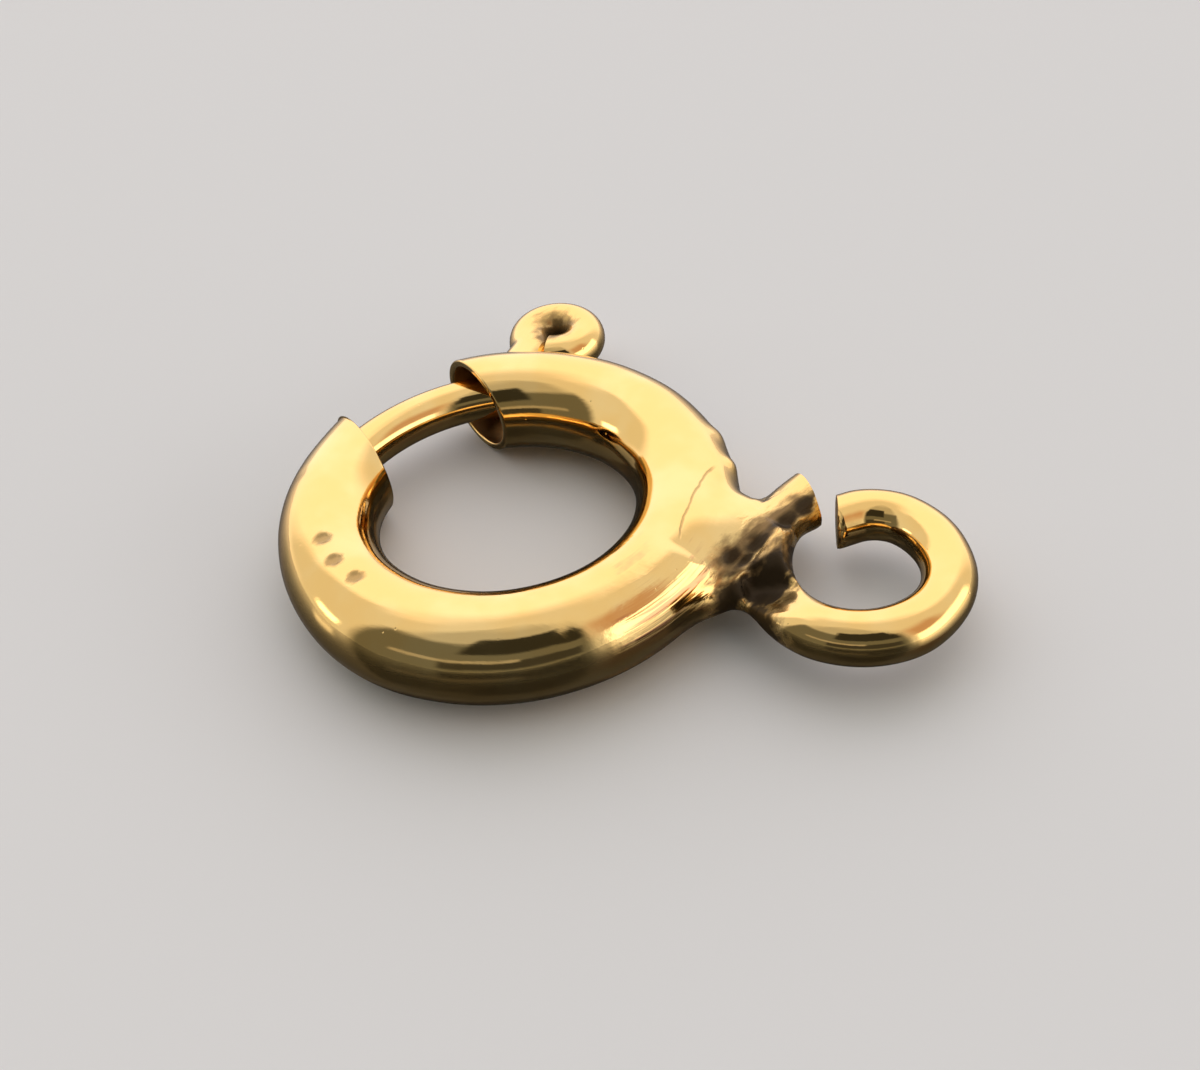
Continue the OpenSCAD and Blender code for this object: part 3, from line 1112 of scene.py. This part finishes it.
def matt(name, colour, roughness=0.8):
    material, nodes, _ = node_tree(name)
    nodes["Principled BSDF"].inputs["Base Color"].default_value = (*colour, 1)
    nodes["Principled BSDF"].inputs["Roughness"].default_value = roughness
    return material


# The camera, fitted to the photograph's outlines: it looks at the ring's centre, then turns a little aside
PHOTO_W = 1200
SENSOR = 36
FOCAL_PX = 1446.7
CAMERA_DISTANCE = 21.76
CAMERA_ELEVATION = 42.0
CAMERA_TURN = 27.6
CAMERA_YAW = -3.47
CAMERA_PITCH = 1.49
CAMERA_ROLL = -9.66


def swung(a, b, degrees):
    """Two axes at right angles, both turned in their plane."""
    c, s = math.cos(math.radians(degrees)), math.sin(math.radians(degrees))
    return c * a + s * b, c * b - s * a


def photo_camera():
    elevation = math.radians(CAMERA_ELEVATION)
    back = Vector((0, -math.cos(elevation), math.sin(elevation)))
    place = back * CAMERA_DISTANCE * MM
    right = Vector((1, 0, 0))
    up = back.cross(right)
    back, right = swung(back, right, CAMERA_YAW)
    back, up = swung(back, up, CAMERA_PITCH)
    right, up = swung(right, up, CAMERA_ROLL)
    turn = Matrix.Rotation(math.radians(CAMERA_TURN), 4, "Z")
    axes = Matrix((right, up, back)).transposed().to_4x4()
    data = bpy.data.cameras.new("camera")
    data.sensor_width = SENSOR
    data.lens = SENSOR * FOCAL_PX / PHOTO_W
    data.clip_start = 0.1 * MM
    data.clip_end = 10
    made = bpy.data.objects.new("camera", data)
    bpy.context.scene.collection.objects.link(made)
    made.matrix_world = turn @ Matrix.Translation(place) @ axes
    bpy.context.scene.camera = made


# The room as the metal sees it. Azimuth 0 is the camera's side and grows to the right, both in degrees.
# Each card: azimuths, elevations, softness, colour
CARDS = (
    ("far_wall", (120, 240), (-5, 66), 26, (1.42, 1.36, 1.4)),
    ("left_wall", (-135, -84), (2, 62), 14, (0.82, 0.82, 0.8)),
    ("overhead_dim", (-75, 25), (48, 84), 24, (0.52, 0.52, 0.5)),
    ("camera_body", (-82, 26), (-3, 52), 9, (0.16, 0.165, 0.15)),
    ("camera_core", (-34, 22), (34, 63), 5, (0.035, 0.035, 0.03)),
    ("camera_foot", (-40, 20), (4, 20), 4, (0.05, 0.05, 0.045)),
    ("gap_of_light", (-62, -4), (17, 22), 3, (0.42, 0.4, 0.36)),
    ("warm_reflector", (30, 76), (24, 54), 20, (0.62, 0.42, 0.32)),
    ("window", (34, 96), (1, 26), 7, (2.1, 2.05, 2.0)),
    ("left_lamp", (-104, -91), (7, 15), 4, (3.0, 2.9, 2.7)),
)
DOME = (0.84, 0.83, 0.81)
BACKDROP = (0.74, 0.74, 0.73)


def room():
    """The bright room with its cards, painted by direction. The camera itself sees only the backdrop."""
    world = bpy.data.worlds.new("room")
    bpy.context.scene.world = world
    world.use_nodes = True
    nodes, links = world.node_tree.nodes, world.node_tree.links
    direction = nodes.new("ShaderNodeTexCoord").outputs["Generated"]
    x, y, z = split_xyz(nodes, links, turned_about_z(nodes, links, direction, -CAMERA_TURN))
    toward = math_node(nodes, links, "MULTIPLY", y, -1)
    azimuth = math_node(nodes, links, "DEGREES", math_node(nodes, links, "ARCTAN2", x, toward))
    round_azimuth = math_node(nodes, links, "WRAP", azimuth, 360, 0)
    elevation = math_node(nodes, links, "DEGREES", math_node(nodes, links, "ARCSINE", z))
    colour = DOME
    for _, azimuths, elevations, soft, paint in CARDS:
        source = round_azimuth if azimuths[1] > 180 else azimuth
        across = between(nodes, links, source, *azimuths, soft)
        upward = between(nodes, links, elevation, *elevations, soft)
        mask = math_node(nodes, links, "MULTIPLY", across, upward)
        colour = colour_mix(nodes, links, mask, colour, paint)
    seen = nodes.new("ShaderNodeLightPath").outputs["Is Camera Ray"]
    colour = colour_mix(nodes, links, seen, colour, BACKDROP)
    links.new(colour, nodes["Background"].inputs["Color"])


FLOOR_HALF = 600
PAPER = (0.78, 0.78, 0.77)
DARK_CARD = (0.035, 0.035, 0.035)
DARK_CARD_BELOW = 0.01


def floor_plane(name, z, material):
    half = FLOOR_HALF
    corners = [(-half, -half, z), (half, -half, z), (half, half, z), (-half, half, z)]
    made = mesh_object(name, corners, [(0, 1, 2, 3)], smooth=False)
    made.data.materials.append(material)
    return made


def studio():
    """A pale floor, which the metal mirrors as a dark card, and the room."""
    pale = floor_plane("floor", FLOOR_Z, matt("floor_paper", PAPER))
    pale.visible_glossy = False
    dark_card = matt("dark_card", DARK_CARD, 0.16)
    dark = floor_plane("floor_in_the_metal", FLOOR_Z - DARK_CARD_BELOW, dark_card)
    dark.visible_camera = False
    dark.visible_diffuse = False
    dark.visible_shadow = False
    dark.visible_transmission = False
    room()


def main():
    photo_camera()
    studio()
    gold_skin = gold("gold_skin", GOLD, GOLD_WORN, 0.05, 0.25, JOINT_STAIN_AND_SHADE, JOINT_SHADE_DEEP)
    gold_bolt = gold("gold_bolt", GOLD, GOLD_WORN, 0.05, 0.25, EYE_SHADE_BROWN, EYE_SHADE_DEEP)
    gold_rim = gold("gold_rim", GOLD, (0.95, 0.68, 0.3), 0.1, 0.5)
    # The tube's bore in dark brown gold: painted shade inside the tube
    gold_inside_painted_shade = gold("gold_inside_painted_shade", (0.42, 0.24, 0.09), (0.3, 0.18, 0.08), 0.25, 0.8)
    gold_cut = gold("gold_cut", (0.94, 0.66, 0.3), (0.95, 0.74, 0.4), 0.22, 1.2)
    case = case_piece()
    for material in (gold_skin, gold_rim, gold_inside_painted_shade, gold_cut):
        case.data.materials.append(material)
    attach(case, "case")
    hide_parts("ring_case")
    bolt = bolt_piece()
    bolt.data.materials.append(gold_bolt)
    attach(bolt, "slider")
    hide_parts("bolt")
    spring = spring_piece()
    spring.data.materials.append(steel("spring_steel"))
    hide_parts("coil_spring")
    bpy.context.scene.view_settings.view_transform = "Standard"


main()
